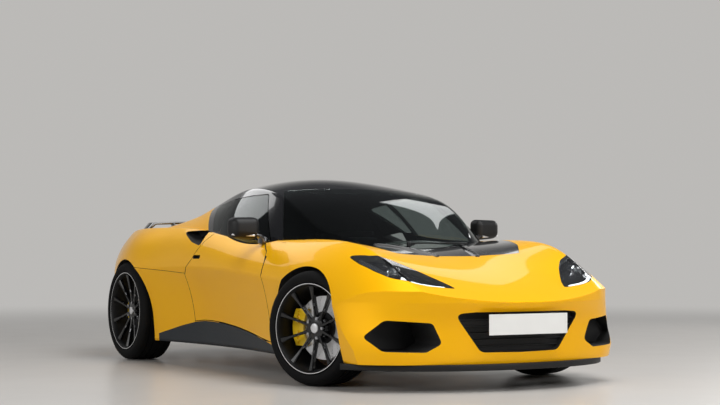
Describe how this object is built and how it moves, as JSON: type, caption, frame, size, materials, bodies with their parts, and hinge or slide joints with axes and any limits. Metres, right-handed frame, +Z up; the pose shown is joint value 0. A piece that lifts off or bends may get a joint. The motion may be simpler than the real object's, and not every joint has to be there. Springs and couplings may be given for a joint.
{
  "type": "two-door mid-engined coupe car",
  "caption": "Low two-door mid-engined coupe with opening doors and tailgate, steered front wheels, separate panels, glass, lamps, cabin and running gear.",
  "frame": {"origin": "on the ground, on the centreline, halfway between nose and tail", "axes": "+X forward, +Y to the left, +Z up"},
  "size_m": [4.395, 1.966, 1.23],
  "materials": {
    "paint": "gloss",
    "gloss_black": "gloss",
    "skirt": "satin",
    "black_trim": "satin",
    "tub": "satin",
    "glass": "clear",
    "lamp_lens": "clear",
    "red_lens": "gloss",
    "plate": "gloss",
    "steel": "brushed",
    "iron": "machined",
    "wheel_black": "satin",
    "tyre": "matt",
    "caliper_yellow": "gloss",
    "alloy": "cast",
    "seat": "matt",
    "dash": "matt"
  },
  "bodies": {
    "body": {"floor_tub": "tub", "nose": "paint", "bonnet_panel": "gloss_black", "rear_clip": "paint", "roof": "gloss_black", "windscreen": "glass", "quarter_glass": "glass", "side_skirts": "skirt", "splitter": "black_trim", "diffuser": "black_trim", "headlamps": "lamp_lens", "tail_lamps": "red_lens", "grilles": "black_trim", "number_plates": "plate", "exhaust_tip": "steel", "wiper": "black_trim", "dashboard": "dash", "console": "dash", "front_seats": "seat", "engine": "alloy", "rear_uprights": "alloy", "rear_calipers": "caliper_yellow", "wishbones": "alloy"},
    "door_right": {"door_right": "paint", "door_glass_right": "glass", "mirror_right": "gloss_black"},
    "door_left": {"door_left": "paint", "door_glass_left": "glass", "mirror_left": "gloss_black"},
    "tailgate": {"tailgate": "paint", "tailgate_glass": "glass", "rear_wing": "gloss_black"},
    "steering_wheel": {"steering_wheel": "dash"},
    "knuckle_right": {"upright_front_right": "alloy", "caliper_front_right": "caliper_yellow"},
    "knuckle_left": {"upright_front_left": "alloy", "caliper_front_left": "caliper_yellow"},
    "wheel_front_right": {"tyre_front_right": "tyre", "rim_front_right": "wheel_black", "disc_front_right": "iron"},
    "wheel_front_left": {"tyre_front_left": "tyre", "rim_front_left": "wheel_black", "disc_front_left": "iron"},
    "wheel_rear_right": {"tyre_rear_right": "tyre", "rim_rear_right": "wheel_black", "disc_rear_right": "iron"},
    "wheel_rear_left": {"tyre_rear_left": "tyre", "rim_rear_left": "wheel_black", "disc_rear_left": "iron"}
  },
  "joints": [
    {"name": "steer_right", "type": "hinge", "parent": "body", "child": "knuckle_right", "pos_m": [1.26, -0.708, 0.3235], "axis": [0, 0, 1], "range_deg": [-52, 14]},
    {"name": "steer_left", "type": "hinge", "parent": "body", "child": "knuckle_left", "pos_m": [1.26, 0.708, 0.3235], "axis": [0, 0, 1], "range_deg": [-52, 14]},
    {"name": "spin_front_right", "type": "hinge", "parent": "knuckle_right", "child": "wheel_front_right", "pos_m": [1.28314, -0.77407, 0.3235], "axis": [-0.3305, 0.9438, 0], "continuous": true},
    {"name": "spin_front_left", "type": "hinge", "parent": "knuckle_left", "child": "wheel_front_left", "pos_m": [1.23686, 0.77407, 0.3235], "axis": [-0.3305, 0.9438, 0], "continuous": true},
    {"name": "spin_rear_right", "type": "hinge", "parent": "body", "child": "wheel_rear_right", "pos_m": [-1.315, -0.783, 0.3395], "axis": [0, 1, 0], "continuous": true},
    {"name": "spin_rear_left", "type": "hinge", "parent": "body", "child": "wheel_rear_left", "pos_m": [-1.315, 0.783, 0.3395], "axis": [0, 1, 0], "continuous": true},
    {"name": "door_right_hinge", "type": "hinge", "parent": "body", "child": "door_right", "pos_m": [0.7, -0.82, 0.53], "axis": [0, 0, 1], "range_deg": [0, 65]},
    {"name": "door_left_hinge", "type": "hinge", "parent": "body", "child": "door_left", "pos_m": [0.7, 0.82, 0.53], "axis": [0, 0, 1], "range_deg": [-65, 0]},
    {"name": "tailgate_hinge", "type": "hinge", "parent": "body", "child": "tailgate", "pos_m": [-0.548, 0, 1.168], "axis": [0, 1, 0], "range_deg": [0, 60]},
    {"name": "steering_wheel_turn", "type": "hinge", "parent": "body", "child": "steering_wheel", "pos_m": [0.47, -0.36, 0.64], "axis": [-0.9063, 0, 0.4226], "range_deg": [-780, 210]}
  ],
  "couplings": [
    {"joint": "steer_left", "follows": "steer_right", "ratio": 1},
    {"joint": "steering_wheel_turn", "follows": "steer_right", "ratio": 15}
  ]
}
